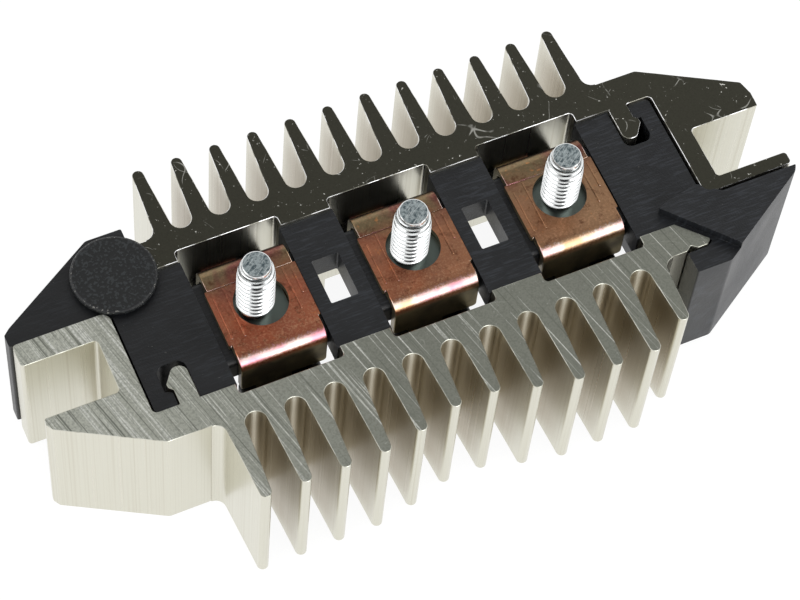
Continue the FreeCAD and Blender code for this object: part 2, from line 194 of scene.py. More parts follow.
@dataclass(frozen=True)
class SawnAluminium(Finish):
    """Extruded aluminium alloy, cut to length with a saw and left bare.

    The walls that came out of the die are bright and satin, with faint lines down them, and
    turn darker and browner deep between the fins, as painted shade. The sawn top is greyer,
    with straight scratches from the blade, fine pits, torn white specks and stray light scratches.

    Attributes:
        top: Colour of the sawn top at the left end, where painted light makes it lightest.
        top_far: Its colour past the middle, where the painted light has faded.
        fade_mm: Where along the sink the painted light fades from the one to the other.
        dense_mm: Where the scratches thin out from their closest to their usual spacing.
        dense: How much stronger the scratches are at the left end.
        blade_turn: Direction of the scratches in degrees.
        blade_run_mm: Length of a scratch.
        blade_gap_mm: Distance between scratches.
        die_gap_mm: Distance between the die's lines, drawn coarser than the real ones to show.
        die_run_mm: Length of a die line, more than the wall's height.
        stain_reach_mm: How far the painted shade reaches out of a gap.
    """

    top: str
    top_far: str
    scratch_light: str
    scratch_dark: str
    top_roughness: float
    scratch_share: float
    speck_share: float
    wall: str = "#dbd9cb"
    wall_shade: str = "#cfcbbb"
    # Colour of the painted shade deep between the fins.
    stain: str = "#a39780"
    fade_mm: Span = (-42.0, -8.0)
    dense_mm: Span = (-36.0, -16.0)
    dense: float = 1.6
    blade_turn: float = -75.0
    blade_run_mm: float = 30.0
    blade_gap_mm: float = 0.25
    die_gap_mm: float = 0.2
    die_run_mm: float = 60.0
    stain_reach_mm: float = 6.0

    def shader(self, tree: Tree, place: Socket) -> Node:
        """Joins the sawn top to the drawn walls.

        Args:
            tree: Node tree of the material.
            place: Object coordinates.

        Returns:
            The last shader node.
        """
        geometry = add_node(tree, "NewGeometry")
        up = add_node(tree, "SeparateXYZ", {0: geometry.outputs["True Normal"]})
        is_top = add_node(tree, "MapRange", {
            "Value": up.outputs["Z"], "From Min": 0.80, "From Max": 0.92})
        grooved, grooves = self.scratched_top(tree, place)
        marks = self.torn_marks(tree, place)
        top = add_node(tree, "MixRGB", {
            "Fac": marks, "Color1": grooved, "Color2": self.scratch_light})
        wall, lines = self.drawn_wall(tree, place)
        tone = add_node(tree, "MixRGB", {"Fac": is_top, "Color1": wall, "Color2": top})

        wall_gloss = add_node(tree, "MapRange", {
            "Value": lines, "From Min": 0.3, "From Max": 0.7, "To Min": 0.27, "To Max": 0.33})
        gloss = add_node(tree, "MixRGB", {
            "Fac": is_top, "Color1": wall_gloss, "Color2": (self.top_roughness,) * 3 + (1.0,)})
        depth = add_node(tree, "MapRange", {"Value": is_top, "To Min": 0.02, "To Max": 0.2})
        height = add_node(tree, "MixRGB", {"Fac": is_top, "Color1": lines, "Color2": grooves})
        bump = add_node(tree, "Bump", {
            "Height": height, "Strength": depth, "Distance": 0.03 * MM})
        # A torn speck throws light every way, so it isn't a mirror as the metal round it is.
        top_marks = add_node(tree, "Math", {0: marks, 1: is_top}, operation="MULTIPLY")
        sheen = add_node(tree, "MapRange", {"Value": top_marks, "To Min": 1.0, "To Max": 0.3})
        return add_node(tree, "BsdfPrincipled", {
            "Base Color": tone, "Metallic": sheen, "Roughness": gloss, "Normal": bump})

    def scratched_top(self, tree: Tree, place: Socket) -> tuple[Node, Node]:
        """Colours the sawn top with the blade's scratches and fine pits.

        Args:
            tree: Node tree of the material.
            place: Object coordinates.

        Returns:
            The colour and the pattern of the grooves.
        """
        where = add_node(tree, "SeparateXYZ", {0: place})
        # Painted light: the top is lightest at the left end and fades to a dimmer grey past the
        # middle.
        along = add_node(tree, "MapRange", {
            "Value": where.outputs["X"], "From Min": self.fade_mm[0] * MM,
            "From Max": self.fade_mm[1] * MM})
        grey = add_node(tree, "MixRGB", {"Fac": along, "Color1": self.top, "Color2": self.top_far})
        # Blade scratches: long grooves, all turned one way, closest together at the left end.
        run, gap = self.blade_run_mm * MM, self.blade_gap_mm * MM
        blade = add_node(tree, "Mapping", {
            "Vector": place, "Rotation": (0.0, 0.0, math.radians(self.blade_turn)),
            "Scale": (run, gap, run)}, vector_type="TEXTURE")
        grooves = add_node(tree, "TexNoise", {
            "Vector": blade, "Scale": 1.0, "Detail": 3.0, "Roughness": 0.7})
        off_mean = add_node(tree, "Math", {0: grooves, 1: 0.5}, operation="SUBTRACT")
        bite = add_node(tree, "MapRange", {
            "Value": where.outputs["X"], "From Min": self.dense_mm[0] * MM,
            "From Max": self.dense_mm[1] * MM, "To Min": self.dense, "To Max": 1.0})
        bitten = add_node(tree, "Math", {0: off_mean, 1: bite}, operation="MULTIPLY")
        lit = add_node(tree, "MapRange", {
            "Value": bitten, "From Min": 0.115, "From Max": 0.13, "To Max": self.scratch_share})
        shaded = add_node(tree, "MapRange", {
            "Value": bitten, "From Min": -0.11, "From Max": -0.16,
            "To Max": 0.8 * self.scratch_share})
        scratched = add_node(tree, "MixRGB", {
            "Fac": lit, "Color1": grey, "Color2": self.scratch_light})
        grooved = add_node(tree, "MixRGB", {
            "Fac": shaded, "Color1": scratched, "Color2": self.scratch_dark})
        # Pits of about 0.1 mm, which the saw tore out between its scratches.
        pits = add_node(tree, "TexNoise", {
            "Vector": place, "Scale": per_mm(0.22), "Detail": 1.0})
        pit_mask = add_node(tree, "MapRange", {
            "Value": pits, "From Min": 0.56, "From Max": 0.36, "To Max": 0.35})
        pitted = add_node(tree, "MixRGB", {
            "Fac": pit_mask, "Color1": grooved, "Color2": self.scratch_dark})
        return pitted, grooves

    def torn_marks(self, tree: Tree, place: Socket) -> Node:
        """Draws torn specks of about 0.15 mm, and stray arcs that cross in loose groups.

        Args:
            tree: Node tree of the material.
            place: Object coordinates.

        Returns:
            The mask of the marks.
        """
        grain = add_node(tree, "TexNoise", {
            "Vector": place, "Scale": per_mm(0.42), "Detail": 3.0, "Roughness": 0.6})
        speck = add_node(tree, "MapRange", {
            "Value": grain, "From Min": 0.68, "From Max": 0.74, "To Max": self.speck_share})
        # A thin line runs where a smooth noise crosses its mean, and three draws give three sets.
        nearest = []
        for draw in (0.0, 5.0, 11.0):
            arc = add_node(tree, "TexNoise", {
                "Vector": place, "W": draw, "Scale": per_mm(6.0), "Detail": 0.5},
                noise_dimensions="4D")
            off_arc = add_node(tree, "Math", {0: arc, 1: 0.5}, operation="SUBTRACT")
            nearest.append(add_node(tree, "Math", {0: off_arc}, operation="ABSOLUTE"))
        pair = add_node(tree, "Math", {0: nearest[0], 1: nearest[1]}, operation="MINIMUM")
        from_arc = add_node(tree, "Math", {0: pair, 1: nearest[2]}, operation="MINIMUM")
        stray_line = add_node(tree, "MapRange", {
            "Value": from_arc, "From Min": 0.0035, "From Max": 0.001})
        patch = add_node(tree, "TexNoise", {
            "Vector": place, "Scale": per_mm(3.0), "Detail": 4.0})
        patch_mask = add_node(tree, "MapRange", {
            "Value": patch, "From Min": 0.56, "From Max": 0.64, "To Max": 0.5 * self.speck_share})
        stray = add_node(tree, "Math", {0: stray_line, 1: patch_mask}, operation="MULTIPLY")
        return add_node(tree, "Math", {0: speck, 1: stray}, operation="MAXIMUM")

    def drawn_wall(self, tree: Tree, place: Socket) -> tuple[Node, Node]:
        """Colours the walls with the die's lines and painted shade between the fins.

        Args:
            tree: Node tree of the material.
            place: Object coordinates.

        Returns:
            The colour and the pattern of the lines.
        """
        gap = self.die_gap_mm * MM
        die = add_node(tree, "Mapping", {
            "Vector": place, "Scale": (gap, gap, self.die_run_mm * MM)},
            vector_type="TEXTURE")
        lines = add_node(tree, "TexNoise", {"Vector": die, "Scale": 1.0, "Detail": 2.0})
        line_mask = add_node(tree, "MapRange", {
            "Value": lines, "From Min": 0.52, "From Max": 0.80})
        wall = add_node(tree, "MixRGB", {
            "Fac": line_mask, "Color1": self.wall, "Color2": self.wall_shade})
        # Painted shade: the walls turn darker and browner where the fins shelter them, found by
        # occlusion.
        shelter = add_node(tree, "AmbientOcclusion", {"Distance": self.stain_reach_mm * MM},
                           samples=8, only_local=True)
        stain = add_node(tree, "MapRange", {
            "Value": shelter.outputs["AO"], "From Min": 0.66, "From Max": 0.32, "To Max": 0.9})
        gap_shaded = add_node(tree, "MixRGB", {
            "Fac": stain, "Color1": wall, "Color2": self.stain})
        return gap_shaded, lines


@dataclass(frozen=True)
class BurredEdge(Finish):
    """The burr a saw leaves along an aluminium edge: a thin line of bright bare metal."""

    bright: str
    dull: str

    def shader(self, tree: Tree, place: Socket) -> Node:
        """Makes the burr come and go every 2 mm or so along the edge.

        Args:
            tree: Node tree of the material.
            place: Object coordinates.

        Returns:
            The last shader node.
        """
        run = add_node(tree, "TexNoise", {"Vector": place, "Scale": per_mm(2.0), "Detail": 4.0})
        mask = add_node(tree, "MapRange", {"Value": run, "From Min": 0.42, "From Max": 0.52})
        tone = add_node(tree, "MixRGB", {"Fac": mask, "Color1": self.dull, "Color2": self.bright})
        return add_node(tree, "BsdfPrincipled", {
            "Base Color": tone, "Metallic": 1.0, "Roughness": 0.32})


@dataclass(frozen=True)
class MouldedResin(Finish):
    """Glass-filled black resin, moulded and lightly scuffed.

    It is blue-black and faintly grained, and scuffed paler towards its right end.

    Attributes:
        grain_mm: Size of the grain, drawn coarser than the real one to show.
        handled_mm: Where along the moulding the scuffs go from few to many.
        hatch_run_mm: Length of a stroke that the mould's milled face left.
        hatch_gap_mm: Distance between the strokes.
        chips: How clearly chips in the skin show.
        chip_from: Level of the grain from which it is chipped.
    """

    deep: str = "#08090b"
    scuffed: str = "#2a2d32"
    grain_mm: float = 0.25
    roughness: float = 0.42
    bump: float = 0.6
    hatching: float = 1.0
    chip: str = "#8d8c86"
    chips: float = 0.0
    chip_from: float = 0.76
    handled_mm: Span = (-34.0, -4.0)
    hatch_run_mm: float = 2.0
    hatch_gap_mm: float = 0.2

    def shader(self, tree: Tree, place: Socket) -> Node:
        """Builds the moulded skin.

        Args:
            tree: Node tree of the material.
            place: Object coordinates.

        Returns:
            The last shader node.
        """
        cloud = add_node(tree, "TexNoise", {"Vector": place, "Scale": per_mm(6.0), "Detail": 5.0})
        run, gap = self.hatch_run_mm * MM, self.hatch_gap_mm * MM
        hatch_place = add_node(tree, "Mapping", {
            "Vector": place, "Scale": (run, gap, run)}, vector_type="TEXTURE")
        hatch = add_node(tree, "TexNoise", {"Vector": hatch_place, "Scale": 1.0, "Detail": 2.0})
        strokes = add_node(tree, "MapRange", {
            "Value": hatch, "From Min": 0.50, "From Max": 0.72, "To Max": 0.9 * self.hatching})
        marks = add_node(tree, "Math", {0: cloud, 1: 0.5, 2: strokes}, operation="MULTIPLY_ADD")
        where = add_node(tree, "SeparateXYZ", {0: place})
        handled = add_node(tree, "MapRange", {
            "Value": where.outputs["X"], "From Min": self.handled_mm[0] * MM,
            "From Max": self.handled_mm[1] * MM, "To Min": 0.35, "To Max": 1.0})
        mask = add_node(tree, "Math", {0: marks, 1: handled}, operation="MULTIPLY")
        tone = add_node(tree, "MixRGB", {"Fac": mask, "Color1": self.deep, "Color2": self.scuffed})

        grain = add_node(tree, "TexNoise", {
            "Vector": place, "Scale": per_mm(self.grain_mm), "Detail": 3.0})
        chip_mask = add_node(tree, "MapRange", {
            "Value": grain, "From Min": self.chip_from, "From Max": self.chip_from + 0.05,
            "To Max": self.chips})
        chipped = add_node(tree, "MixRGB", {
            "Fac": chip_mask, "Color1": tone, "Color2": self.chip})
        gloss = add_node(tree, "MapRange", {
            "Value": cloud, "From Min": 0.3, "From Max": 0.7,
            "To Min": self.roughness - 0.05, "To Max": self.roughness + 0.05})
        bump = add_node(tree, "Bump", {
            "Height": grain, "Strength": self.bump, "Distance": 0.05 * MM})
        return add_node(tree, "BsdfPrincipled", {
            "Base Color": chipped, "Roughness": gloss, "IOR": 1.5, "Normal": bump})


@dataclass(frozen=True)
class TintedCopper(Finish):
    """Copper strip, pressed to shape and tinted by soldering heat.

    The flat top is reddish brown with a golden sparkle, and its rear edge is clouded olive and
    violet. The front bend carries a painted highlight in pale copper with pink and gold tints,
    and the legs are olive bronze darkened as painted shade, near black where they face the rear.

    Attributes:
        hotter_mm: Where along the row the brown goes over to olive.
        rear_mm: Where across the strip the rear edge's heat tints begin and are full.
        waver_mm: How far their border wavers.
        front_mm: Where across the strip the sparkle is thinnest and thickest.
    """

    name: str = "heat_tinted_copper"
    brown: str = "#c67759"
    dusk: str = "#a8644f"
    olive: str = "#86765a"
    violet: str = "#7c4f48"
    far_olive: str = "#b0906e"
    # Leg colours: olive bronze tint darkened as painted shade, and a near-black painted shade for
    # faces that look to the rear.
    rear_leg: str = "#2c221b"
    leg: str = "#85785a"
    leg_shade: str = "#5a5140"
    gold: str = "#e0b088"
    # Colours of the painted highlight on the front bend.
    bare: str = "#ffeee2"
    pink: str = "#f2a6b4"
    amber: str = "#ecc49a"
    soot: str = "#5e3427"
    orange: str = "#ee9a5c"
    hotter_mm: Span = (-14.0, 22.0)
    rear_mm: Span = (4.0, 7.6)
    waver_mm: float = 4.0
    front_mm: Span = (0.5, -4.5)

    def shader(self, tree: Tree, place: Socket) -> Node:
        """Lays the legs and the rubbed bend over the tinted top.

        Args:
            tree: Node tree of the material.
            place: Object coordinates.

        Returns:
            The last shader node.
        """
        geometry = add_node(tree, "NewGeometry")
        way = add_node(tree, "SeparateXYZ", {0: geometry.outputs["Normal"]})
        cloud = add_node(tree, "TexNoise", {"Vector": place, "Scale": per_mm(4.0), "Detail": 4.0})
        cloud_mask = add_node(tree, "MapRange", {
            "Value": cloud, "From Min": 0.40, "From Max": 0.62})
        fleck = add_node(tree, "TexNoise", {
            "Vector": place, "Scale": per_mm(0.3), "Detail": 4.0, "Roughness": 0.7})
        tinted = self.tinted_top(tree, place, cloud, cloud_mask)
        top = self.soldered_top(tree, place, tinted, fleck)

        # Legs: every face that looks sideways or down, and the rear bend too.
        turned = add_node(tree, "Math", {
            0: way.outputs["Y"], 1: -0.9, 2: way.outputs["Z"]}, operation="MULTIPLY_ADD")
        lesser = add_node(tree, "Math", {0: way.outputs["Z"], 1: turned}, operation="MINIMUM")
        side = add_node(tree, "MapRange", {
            "Value": lesser, "From Min": 0.05, "From Max": 0.40, "To Min": 1.0, "To Max": 0.0})
        # Painted shade: the legs' olive bronze tint is darker than the top.
        bronze = add_node(tree, "MixRGB", {
            "Fac": cloud_mask, "Color1": self.leg, "Color2": self.leg_shade})
        # Painted shade: faces that look to the rear turn near black, for the dark recess they face.
        behind = add_node(tree, "MapRange", {
            "Value": way.outputs["Y"], "From Min": 0.15, "From Max": 0.40})
        rear_shaded = add_node(tree, "MixRGB", {
            "Fac": behind, "Color1": bronze, "Color2": self.rear_leg})
        legs = add_node(tree, "MixRGB", {"Fac": side, "Color1": top, "Color2": rear_shaded})

        # Painted highlight: the front bend, found by the way its faces look, turns pale copper.
        tone = add_node(tree, "MixRGB", {
            "Fac": self.front_bend(tree, way, fleck), "Color1": legs,
            "Color2": self.rubbed_copper(tree, place)})
        gloss = add_node(tree, "MapRange", {
            "Value": cloud, "From Min": 0.3, "From Max": 0.7, "To Min": 0.28, "To Max": 0.40})
        bump = add_node(tree, "Bump", {
            "Height": fleck, "Strength": 0.25, "Distance": 0.05 * MM})
        # Flux residue dulls the legs.
        sheen = add_node(tree, "MapRange", {"Value": side, "To Min": 1.0, "To Max": 0.75})
        return add_node(tree, "BsdfPrincipled", {
            "Base Color": tone, "Metallic": sheen, "Roughness": gloss, "Normal": bump})

    def tinted_top(self, tree: Tree, place: Socket, cloud: Node, cloud_mask: Node) -> Node:
        """Colours the top brown, with heat clouds along its rear edge.

        Args:
            tree: Node tree of the material.
            place: Object coordinates.
            cloud: Soft clouds of 4 mm.
            cloud_mask: The same, with more contrast.

        Returns:
            The colour.
        """
        where = add_node(tree, "SeparateXYZ", {0: place})
        red_brown = add_node(tree, "MixRGB", {
            "Fac": cloud_mask, "Color1": self.brown, "Color2": self.dusk})
        # Each clip took more heat than the one on its left, and is more olive.
        hotter = add_node(tree, "MapRange", {
            "Value": where.outputs["X"], "From Min": self.hotter_mm[0] * MM,
            "From Max": self.hotter_mm[1] * MM, "To Max": 0.8})
        brown = add_node(tree, "MixRGB", {
            "Fac": hotter, "Color1": red_brown, "Color2": self.far_olive})
        # Olive and violet patches of about 5 mm.
        tint = add_node(tree, "TexNoise", {
            "Vector": place, "Scale": per_mm(5.0), "Detail": 2.0, "Distortion": 0.4})
        tint_mask = add_node(tree, "MapRange", {
            "Value": tint, "From Min": 0.45, "From Max": 0.58})
        heat = add_node(tree, "MixRGB", {
            "Fac": tint_mask, "Color1": self.violet, "Color2": self.olive})
        wavering = add_node(tree, "Math", {
            0: cloud, 1: self.waver_mm * MM, 2: where.outputs["Y"]}, operation="MULTIPLY_ADD")
        rear = add_node(tree, "MapRange", {
            "Value": wavering, "From Min": self.rear_mm[0] * MM,
            "From Max": self.rear_mm[1] * MM})
        return add_node(tree, "MixRGB", {"Fac": rear, "Color1": brown, "Color2": heat})

    def soldered_top(self, tree: Tree, place: Socket, tinted: Node, fleck: Node) -> Node:
        """Adds flux soot, clean orange spots and a golden sparkle to the top.

        Args:
            tree: Node tree of the material.
            place: Object coordinates.
            tinted: Colour of the top below.
            fleck: Flecks of about 0.1 mm.

        Returns:
            The colour.
        """
        where = add_node(tree, "SeparateXYZ", {0: place})
        front = add_node(tree, "MapRange", {
            "Value": where.outputs["Y"], "From Min": self.front_mm[0] * MM,
            "From Max": self.front_mm[1] * MM, "To Min": 0.25, "To Max": 0.75})
        fleck_mask = add_node(tree, "MapRange", {
            "Value": fleck, "From Min": 0.46, "From Max": 0.72, "To Max": front})
        # Spots of 1 mm and less, where the solder was drawn over.
        spot = add_node(tree, "TexNoise", {
            "Vector": place, "Scale": per_mm(1.3), "Detail": 6.0, "Roughness": 0.75})
        soot_mask = add_node(tree, "MapRange", {
            "Value": spot, "From Min": 0.46, "From Max": 0.36, "To Max": 0.6})
        clean_mask = add_node(tree, "MapRange", {
            "Value": spot, "From Min": 0.60, "From Max": 0.68, "To Max": 0.6})
        sooted = add_node(tree, "MixRGB", {
            "Fac": soot_mask, "Color1": tinted, "Color2": self.soot})
        spotted = add_node(tree, "MixRGB", {
            "Fac": clean_mask, "Color1": sooted, "Color2": self.orange})
        return add_node(tree, "MixRGB", {
            "Fac": fleck_mask, "Color1": spotted, "Color2": self.gold})

    def rubbed_copper(self, tree: Tree, place: Socket) -> Node:
        """Colours the bend's painted highlight: pale copper between pink and amber clouds of about
        4.5 mm.

        Args:
            tree: Node tree of the material.
            place: Object coordinates.

        Returns:
            The colour.
        """
        blush = add_node(tree, "TexNoise", {"Vector": place, "Scale": per_mm(4.5), "Detail": 2.0})
        blush_mask = add_node(tree, "MapRange", {
            "Value": blush, "From Min": 0.46, "From Max": 0.60})
        amber_mask = add_node(tree, "MapRange", {
            "Value": blush, "From Min": 0.46, "From Max": 0.36})
        pinked = add_node(tree, "MixRGB", {
            "Fac": blush_mask, "Color1": self.bare, "Color2": self.pink})
        return add_node(tree, "MixRGB", {
            "Fac": amber_mask, "Color1": pinked, "Color2": self.amber})

    def front_bend(self, tree: Tree, way: Node, fleck: Node) -> Node:
        """Finds the front bend's painted highlight by the way its faces look, with a frayed edge.

        Args:
            tree: Node tree of the material.
            way: The surface's normal, split.
            fleck: Flecks of about 0.1 mm.

        Returns:
            The painted highlight's mask.
        """
        frayed = add_node(tree, "Math", {
            0: fleck, 1: 0.35, 2: way.outputs["Z"]}, operation="MULTIPLY_ADD")
        rise = add_node(tree, "MapRange", {"Value": frayed, "From Min": 0.62, "From Max": 0.80})
        fall = add_node(tree, "MapRange", {"Value": frayed, "From Min": 1.16, "From Max": 1.06})
        bend = add_node(tree, "Math", {0: rise, 1: fall}, operation="MULTIPLY")
        ahead = add_node(tree, "MapRange", {
            "Value": way.outputs["Y"], "From Min": -0.05, "From Max": -0.25})
        return add_node(tree, "Math", {0: bend, 1: ahead}, operation="MULTIPLY")


@dataclass(frozen=True)
class PlatedSteel(Finish):
    """Steel stud with a rolled thread, zinc plated and blue passivated.

    The thread is mirror-bright, the flat end is scuffed blue-grey, and the flat faces of the
    head, down in the clip's hole, are darkened as painted shade.

    Attributes:
        head_top_mm: Height up to which the stud is head.
        scratch_turn: Direction of the fine scratches in degrees.
        scratch_run_mm: Length of a scratch.
        scratch_gap_mm: Distance between scratches.
    """

    name: str = "blue_zinc_plated_steel"
    plate: str = "#f6f8f8"
    scuff: str = "#c6d2d4"
    worn: str = "#64747a"
    scratch: str = "#eef6f6"
    # Colour of the painted shade on the head in the clip's hole.
    head: str = "#6c7670"
    head_top_mm: float = 18.7
    scratch_turn: float = 35.0
    scratch_run_mm: float = 1.6
    scratch_gap_mm: float = 0.12

    def shader(self, tree: Tree, place: Socket) -> Node:
        """Builds the plating, with a mottled and scratched flat end.

        Args:
            tree: Node tree of the material.
            place: Object coordinates.

        Returns:
            The last shader node.
        """
        geometry = add_node(tree, "NewGeometry")
        way = add_node(tree, "SeparateXYZ", {0: geometry.outputs["True Normal"]})
        flat = add_node(tree, "MapRange", {
            "Value": way.outputs["Z"], "From Min": 0.93, "From Max": 0.99})
        # The flat end is mottled by handling, in patches of about 0.45 mm.
        mottle = add_node(tree, "TexNoise", {
            "Vector": place, "Scale": per_mm(0.45), "Detail": 4.0, "Roughness": 0.7})
        mottle_mask = add_node(tree, "MapRange", {
            "Value": mottle, "From Min": 0.44, "From Max": 0.60})
        end = add_node(tree, "MixRGB", {
            "Fac": mottle_mask, "Color1": self.scuff, "Color2": self.worn})
        tone = add_node(tree, "MixRGB", {"Fac": flat, "Color1": self.plate, "Color2": end})

        run, gap = self.scratch_run_mm * MM, self.scratch_gap_mm * MM
        scratch_place = add_node(tree, "Mapping", {
            "Vector": place, "Rotation": (0.0, 0.0, math.radians(self.scratch_turn)),
            "Scale": (run, gap, run)}, vector_type="TEXTURE")
        scratch = add_node(tree, "TexNoise", {
            "Vector": scratch_place, "Scale": 1.0, "Detail": 2.0})
        line = add_node(tree, "MapRange", {
            "Value": scratch, "From Min": 0.56, "From Max": 0.64, "To Max": 0.8})
        flat_line = add_node(tree, "Math", {0: line, 1: flat}, operation="MULTIPLY")
        scratched = add_node(tree, "MixRGB", {
            "Fac": flat_line, "Color1": tone, "Color2": self.scratch})
        # Painted shade: flat faces below the head's top, down in the clip's hole, are darkened.
        where = add_node(tree, "SeparateXYZ", {0: place})
        low = add_node(tree, "Math", {
            0: where.outputs["Z"], 1: self.head_top_mm * MM}, operation="LESS_THAN")
        flat_low = add_node(tree, "Math", {0: low, 1: flat}, operation="MULTIPLY")
        head_shaded = add_node(tree, "MixRGB", {
            "Fac": flat_low, "Color1": scratched, "Color2": self.head})

        gloss = add_node(tree, "MapRange", {"Value": flat, "To Min": 0.15, "To Max": 0.34})
        bump = add_node(tree, "Bump", {
            "Height": scratch, "Strength": 0.1, "Distance": 0.03 * MM})
        return add_node(tree, "BsdfPrincipled", {
            "Base Color": head_shaded, "Metallic": 1.0, "Roughness": gloss, "Normal": bump})


@dataclass(frozen=True)
class LappedSilicon(Finish):
    """Silicon wafer, sawn into dies: dark grey-blue and nearly polished."""

    name: str = "sawn_silicon"
    dark: str = "#3a3f4a"
    light: str = "#565c68"

    def shader(self, tree: Tree, place: Socket) -> Node:
        """Builds the lapped surface.

        Args:
            tree: Node tree of the material.
            place: Object coordinates.

        Returns:
            The last shader node.
        """
        lapping = add_node(tree, "TexNoise", {
            "Vector": place, "Scale": per_mm(0.3), "Detail": 3.0})
        tone = add_node(tree, "MixRGB", {
            "Fac": lapping, "Color1": self.dark, "Color2": self.light})
        return add_node(tree, "BsdfPrincipled", {
            "Base Color": tone, "Metallic": 1.0, "Roughness": 0.22})


@dataclass(frozen=True)
class StudioPaint(Finish):
    """Matt white paint, which shows plain white to the camera and in reflections."""

    name: str = "matt_white_paint"
    paint: str = "#f4f4f4"
    shown: str = "#ffffff"
    shown_strength: float = 1.1
    shown_share: float = 0.84

    def shader(self, tree: Tree, place: Socket) -> Node:
        """Builds the paint, which keeps a share of its own shade for the shadow.

        Args:
            tree: Node tree of the material.
            place: Object coordinates, which plain paint doesn't need.

        Returns:
            The last shader node.
        """
        path = add_node(tree, "LightPath")
        seen = add_node(tree, "Math", {
            0: path.outputs["Is Camera Ray"], 1: path.outputs["Is Glossy Ray"]},
            operation="MAXIMUM")
        seen_or_through = add_node(tree, "Math", {
            0: seen, 1: path.outputs["Is Transmission Ray"]}, operation="MAXIMUM")
        share = add_node(tree, "Math", {0: seen_or_through, 1: self.shown_share},
                         operation="MULTIPLY")
        matt = add_node(tree, "BsdfDiffuse", {"Color": self.paint})
        white = add_node(tree, "Emission", {"Color": self.shown, "Strength": self.shown_strength})
        return add_node(tree, "MixShader", {0: share, 1: matt, 2: white})


@contextmanager
def edit_mode() -> Iterator[None]:
    """Keeps the active piece in edit mode for the length of a block.

    Yields:
        Nothing.
    """
    bpy.ops.object.mode_set(mode="EDIT")
    yield
    bpy.ops.object.mode_set(mode="OBJECT")


def only(piece: Piece) -> None:
    """Makes one piece the only one selected, and the active one.

    Args:
        piece: The piece to work on.
    """
    bpy.ops.object.select_all(action="DESELECT")
    piece.select_set(True)
    bpy.context.view_layer.objects.active = piece


def settle(piece: Piece) -> None:
    """Puts the piece's place, turn and size into its mesh.

    Args:
        piece: The piece to settle.
    """
    only(piece)
    bpy.ops.object.transform_apply(location=True, rotation=True, scale=True)


def outward(piece: Piece, reach: float = MERGE_REACH) -> None:
    """Merges doubles and points every face outwards.

    Args:
        piece: The piece to mend.
        reach: Distance within which points are one, in metres.
    """
    only(piece)
    with edit_mode():
        bpy.ops.mesh.select_all(action="SELECT")
        bpy.ops.mesh.remove_doubles(threshold=reach)
        bpy.ops.mesh.normals_make_consistent(inside=False)


def pick(piece: Piece, wanted: Callable[[Vector], bool]) -> None:
    """Selects the points, edges and faces of a piece that lie where they are wanted.

    Args:
        piece: The piece, which becomes the active one.
        wanted: Test of a point's place.
    """
    only(piece)
    mesh = piece.data
    for point in mesh.vertices:
        point.select = wanted(point.co)
    for part in (*mesh.edges, *mesh.polygons):
        part.select = all(mesh.vertices[i].select for i in part.vertices)


def middle(piece: Piece, axis: int) -> float:
    """Gives the middle of a piece's box along one axis, in metres.

    Args:
        piece: The piece.
        axis: 0 for X, 1 for Y or 2 for Z.

    Returns:
        The middle.
    """
    return sum(corner[axis] for corner in piece.bound_box) / 8


def dress(piece: Piece, *materials: bpy.types.Material) -> None:
    """Gives a piece its materials in place of those it has.

    Args:
        piece: The piece to dress.
        materials: One material for each slot.
    """
    piece.data.materials.clear()
    for material in materials:
        piece.data.materials.append(material)


def stand_in(piece: Piece, node: str) -> None:
    """Lets a finished piece ride in the place of a frame node.

    Args:
        piece: The finished piece.
        node: Name of the frame node that it replaces.
    """
    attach(piece, ROOT)
    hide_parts(node)


def any_edge(start: Vector, end: Vector) -> bool:
    """Accepts every edge, whatever its ends."""
    return True


def soft_copy(node: Piece, name: str, width: float, steps: int = 2,
              wanted: Callable[[Vector, Vector], bool] = any_edge) -> Piece:
    """Copies a frame node and rounds its edges, as the real part's are.

    Args:
        node: The node to copy.
        name: Name of the new piece.
        width: Width of the rounding in millimetres.
        steps: Faces across the rounding, where 1 gives a flat chamfer.
        wanted: Test of the two ends of a sharp edge, which is rounded if they pass.

    Returns:
        The new piece, with the rounding in its second material slot.
    """
    piece = node.copy()
    piece.data = node.data.copy()
    piece.name = name
    piece.data.name = name
    for key in list(piece.keys()):
        del piece[key]
    bpy.context.scene.collection.objects.link(piece)
    piece.parent = None
    only(piece)
    with edit_mode():
        bpy.ops.mesh.select_all(action="SELECT")
        bpy.ops.mesh.remove_doubles(threshold=MERGE_REACH)
        bpy.ops.mesh.dissolve_limited(angle_limit=FLAT_TURN)
    shape = bmesh.new()
    shape.from_mesh(piece.data)
    sharp = [edge.calc_face_angle(0.0) > SHARP_TURN
             and wanted(edge.verts[0].co, edge.verts[1].co) for edge in shape.edges]
    shape.free()
    weights = piece.data.attributes.new("bevel_weight_edge", "FLOAT", "EDGE")
    for place, is_sharp in enumerate(sharp):
        weights.data[place].value = 1.0 if is_sharp else 0.0
    rounding = piece.modifiers.new("rounding", "BEVEL")
    rounding.width = width * MM
    rounding.segments = steps
    rounding.limit_method = "WEIGHT"
    rounding.use_clamp_overlap = True
    rounding.material = 1
    rounding.miter_outer = "MITER_SHARP"
    return piece


def finish_rounding(piece: Piece) -> None:
    """Applies the rounding and smooths the shading across curved walls.

    Args:
        piece: A piece from soft_copy that has its materials.
    """
    only(piece)
    bpy.ops.object.shade_smooth_by_angle(angle=SMOOTH_TURN)
    bpy.ops.object.modifier_apply(modifier="rounding")
    flats = piece.modifiers.new("flats", "WEIGHTED_NORMAL")
    flats.keep_sharp = True
    bpy.ops.object.modifier_apply(modifier="flats")


